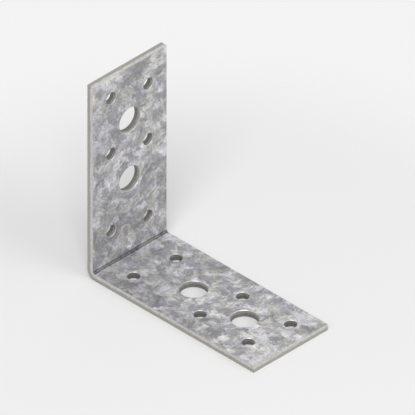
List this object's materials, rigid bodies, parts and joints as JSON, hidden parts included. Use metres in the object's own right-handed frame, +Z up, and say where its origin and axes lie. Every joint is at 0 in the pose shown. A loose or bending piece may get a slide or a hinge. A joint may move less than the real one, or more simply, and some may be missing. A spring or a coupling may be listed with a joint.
{
  "type": "angle bracket",
  "caption": "Galvanised sheet steel bracket folded to a right angle, with equal legs, staggered nail holes and larger bolt holes, for fixing crossing timbers together.",
  "frame": {"origin": "the heel: the corner where the planes of the two outer mounting faces meet, midway across the strip", "axes": "+X along the base leg away from the heel, +Z up along the upright leg, +Y across the strip"},
  "size_m": [0.09, 0.04, 0.09],
  "materials": {
    "galvanised_steel": "hot-dip galvanised, mottled light grey"
  },
  "bodies": {
    "root": {"angle_bracket": "galvanised_steel"}
  },
  "joints": []
}
